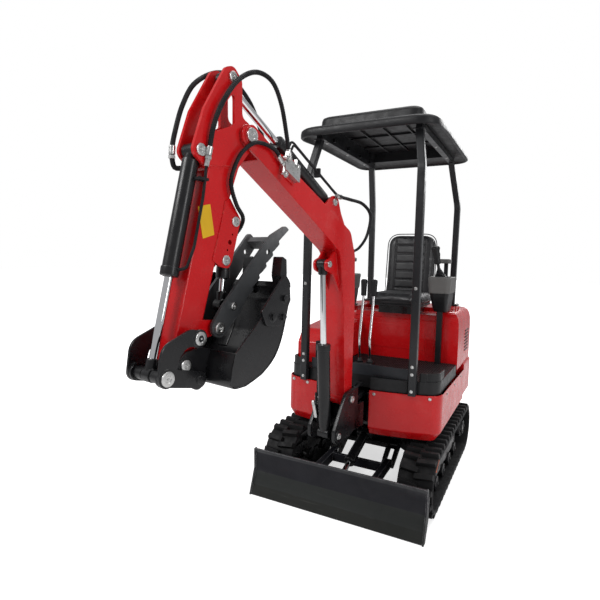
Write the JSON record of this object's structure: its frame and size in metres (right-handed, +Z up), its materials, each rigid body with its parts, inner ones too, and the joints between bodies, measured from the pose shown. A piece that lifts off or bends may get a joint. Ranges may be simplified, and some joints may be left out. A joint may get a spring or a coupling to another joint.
{
  "type": "mini excavator",
  "caption": "Compact tracked excavator with a canopy, swing boom, arm, curled bucket with a thumb, and a dozer blade",
  "frame": {"origin": "bottom centre of the bounding box of the parked machine, on the ground", "axes": "+Z up; the machine faces -Y, so +Y is its length towards the rear; +X across it, towards its left"},
  "size_m": [0.96, 2.6692, 2.118],
  "materials": {
    "red_paint": "gloss red paint",
    "black_paint": "satin black paint",
    "grey_paint": "satin dark grey paint",
    "track_rubber": "matt black rubber",
    "black_plastic": "grained black moulding",
    "grey_plastic": "grained grey moulding",
    "chrome_rod": "polished chrome",
    "bare_steel": "machined steel",
    "vinyl": "black seat vinyl",
    "cast_block": "rough casting",
    "black_hose": "black hose"
  },
  "bodies": {
    "undercarriage": {"carbody": "black_paint", "slew_ring": "bare_steel", "track_frame_left": "black_paint", "track_frame_right": "black_paint", "track_left": "track_rubber", "track_right": "track_rubber", "sprocket_left": "black_paint", "sprocket_right": "black_paint"},
    "blade": {"dozer_blade": "grey_paint"},
    "blade_cyl_barrel": {"blade_cylinder_barrel": "black_paint"},
    "blade_cyl_rod": {"blade_cylinder_rod": "chrome_rod"},
    "house": {"base_frame": "black_paint", "skirt_left": "red_paint", "skirt_right": "red_paint", "counterweight": "red_paint", "engine": "cast_block", "engine_hood": "red_paint", "floor_plate": "grey_paint", "side_cover": "red_paint", "seat_box": "red_paint", "seat_slide": "black_paint", "seat_cushion": "vinyl", "seat_back": "vinyl", "console_left": "grey_plastic", "console_right": "grey_plastic", "travel_levers": "chrome_rod", "canopy_frame_left": "black_paint", "canopy_frame_right": "black_paint", "roof": "black_plastic"},
    "swing_cyl_barrel": {"swing_cylinder_barrel": "black_paint"},
    "swing_cyl_rod": {"swing_cylinder_rod": "chrome_rod"},
    "bracket": {"swing_bracket": "black_paint", "hose_boom_cylinder": "black_hose", "hose_swing_bundle": "black_hose", "hose_boom_bundle": "black_hose"},
    "boom": {"boom": "red_paint", "valve_block": "bare_steel", "hose_arm_left": "black_hose", "hose_arm_right": "black_hose", "hose_thumb": "black_hose", "hose_knee": "black_hose"},
    "boom_cyl_barrel": {"boom_cylinder_barrel": "black_paint"},
    "boom_cyl_rod": {"boom_cylinder_rod": "chrome_rod"},
    "arm_cyl_barrel": {"arm_cylinder_barrel": "black_paint"},
    "arm_cyl_rod": {"arm_cylinder_rod": "chrome_rod"},
    "arm": {"arm": "red_paint"},
    "bucket_cyl_barrel": {"bucket_cylinder_barrel": "black_paint"},
    "bucket_cyl_rod": {"bucket_cylinder_rod": "chrome_rod"},
    "rocker": {"tipping_links": "black_paint"},
    "link": {"bucket_link": "black_paint"},
    "bucket": {"quick_hitch": "black_paint", "bucket": "black_paint"},
    "thumb": {"thumb": "grey_paint"},
    "thumb_cyl_barrel": {"thumb_cylinder_barrel": "black_paint"},
    "thumb_cyl_rod": {"thumb_cylinder_rod": "chrome_rod"}
  },
  "joints": [
    {"name": "slew", "type": "hinge", "parent": "undercarriage", "child": "house", "pos_m": [0, 0.57462, 0.35], "axis": [0, 0, 1], "continuous": true},
    {"name": "boom_swing", "type": "hinge", "parent": "house", "child": "bracket", "pos_m": [0, -0.06538, 0.494], "axis": [0, 0, 1], "range_deg": [-41, 69], "deforming": ["hose_swing_bundle"]},
    {"name": "boom", "type": "hinge", "parent": "bracket", "child": "boom", "pos_m": [-0.01469, -0.16025, 0.6], "axis": [-0.9882, 0.153, 0], "range_deg": [-80, 8], "deforming": ["hose_boom_bundle", "hose_boom_cylinder"]},
    {"name": "arm", "type": "hinge", "parent": "boom", "child": "arm", "pos_m": [-0.13065, -0.90933, 1.743], "axis": [0.9882, -0.153, 0], "range_deg": [-85, 10], "deforming": ["hose_arm_left", "hose_arm_right", "hose_thumb"]},
    {"name": "bucket", "type": "hinge", "parent": "arm", "child": "bucket", "pos_m": [-0.17593, -1.20184, 0.948], "axis": [0.9882, -0.153, 0], "range_deg": [-150, 3]},
    {"name": "thumb", "type": "hinge", "parent": "arm", "child": "thumb", "pos_m": [-0.15406, -1.06053, 1.056], "axis": [0.9882, -0.153, 0], "range_deg": [-5, 22]},
    {"name": "blade", "type": "hinge", "parent": "undercarriage", "child": "blade", "pos_m": [0, 0.17462, 0.15], "axis": [-1, 0, 0], "range_deg": [-17, 16]},
    {"name": "blade_cyl_tilt", "type": "hinge", "parent": "undercarriage", "child": "blade_cyl_barrel", "pos_m": [0, 0.24462, 0.275], "axis": [-1, 0, 0], "range_deg": [-13, 13]},
    {"name": "blade_cyl_stroke", "type": "slide", "parent": "blade_cyl_barrel", "child": "blade_cyl_rod", "axis": [0, -0.9509, -0.3095], "range_m": [-0.03, 0.03]},
    {"name": "swing_cyl_tilt", "type": "hinge", "parent": "house", "child": "swing_cyl_barrel", "pos_m": [-0.17, 0.34462, 0.494], "axis": [0, 0, 1], "range_deg": [-9, 3]},
    {"name": "swing_cyl_stroke", "type": "slide", "parent": "swing_cyl_barrel", "child": "swing_cyl_rod", "axis": [0.1855, -0.9826, 0], "range_m": [-0.07, 0.115]},
    {"name": "boom_cyl_tilt", "type": "hinge", "parent": "bracket", "child": "boom_cyl_barrel", "pos_m": [-0.03304, -0.27884, 0.44], "axis": [-0.9882, 0.153, 0], "range_deg": [-77, 9]},
    {"name": "boom_cyl_stroke", "type": "slide", "parent": "boom_cyl_barrel", "child": "boom_cyl_rod", "axis": [-0.011, -0.0712, 0.9974], "range_m": [-0.254, 0.03]},
    {"name": "arm_cyl_tilt", "type": "hinge", "parent": "boom", "child": "arm_cyl_barrel", "pos_m": [-0.04085, -0.32924, 1.573], "axis": [0.9882, -0.153, 0], "range_deg": [-6, 2]},
    {"name": "arm_cyl_stroke", "type": "slide", "parent": "arm_cyl_barrel", "child": "arm_cyl_rod", "axis": [-0.1352, -0.8734, 0.4678], "range_m": [-0.266, 0.034]},
    {"name": "bucket_cyl_tilt", "type": "hinge", "parent": "arm", "child": "bucket_cyl_barrel", "pos_m": [-0.16431, -1.12674, 1.651], "axis": [0.9882, -0.153, 0], "range_deg": [-7, 1]},
    {"name": "bucket_cyl_stroke", "type": "slide", "parent": "bucket_cyl_barrel", "child": "bucket_cyl_rod", "axis": [-0.0341, -0.2203, -0.9748], "range_m": [-0.172, 0.008]},
    {"name": "rocker", "type": "hinge", "parent": "arm", "child": "rocker", "pos_m": [-0.16981, -1.16231, 1.035], "axis": [0.9882, -0.153, 0], "range_deg": [-67, 3]},
    {"name": "link", "type": "hinge", "parent": "bucket", "child": "link", "pos_m": [-0.16798, -1.15046, 0.893], "axis": [0.9882, -0.153, 0], "range_deg": [-4, 90]},
    {"name": "thumb_cyl_tilt", "type": "hinge", "parent": "arm", "child": "thumb_cyl_barrel", "pos_m": [-0.13937, -0.96566, 1.431], "axis": [0.9882, -0.153, 0], "range_deg": [-7, 3]},
    {"name": "thumb_cyl_stroke", "type": "slide", "parent": "thumb_cyl_barrel", "child": "thumb_cyl_rod", "axis": [-0.0146, -0.0945, -0.9954], "range_m": [-0.016, 0.007]}
  ],
  "couplings": [
    {"joint": "swing_cyl_tilt", "follows": "boom_swing", "ratio": -0.03},
    {"joint": "swing_cyl_stroke", "follows": "boom_swing", "m_per_rad": 0.0875},
    {"joint": "blade_cyl_tilt", "follows": "blade", "ratio": 0.74},
    {"joint": "blade_cyl_stroke", "follows": "blade", "m_per_rad": -0.096},
    {"joint": "boom_cyl_tilt", "follows": "boom", "ratio": 0.9515},
    {"joint": "boom_cyl_stroke", "follows": "boom", "m_per_rad": 0.1809},
    {"joint": "arm_cyl_tilt", "follows": "arm", "ratio": 0.0582},
    {"joint": "arm_cyl_stroke", "follows": "arm", "m_per_rad": 0.1784},
    {"joint": "bucket_cyl_tilt", "follows": "bucket", "ratio": 0.0425},
    {"joint": "bucket_cyl_stroke", "follows": "bucket", "m_per_rad": 0.0653},
    {"joint": "rocker", "follows": "bucket", "ratio": 0.441},
    {"joint": "link", "follows": "bucket", "ratio": -0.5928},
    {"joint": "thumb_cyl_tilt", "follows": "thumb", "ratio": -0.307},
    {"joint": "thumb_cyl_stroke", "follows": "thumb", "m_per_rad": -0.038}
  ]
}
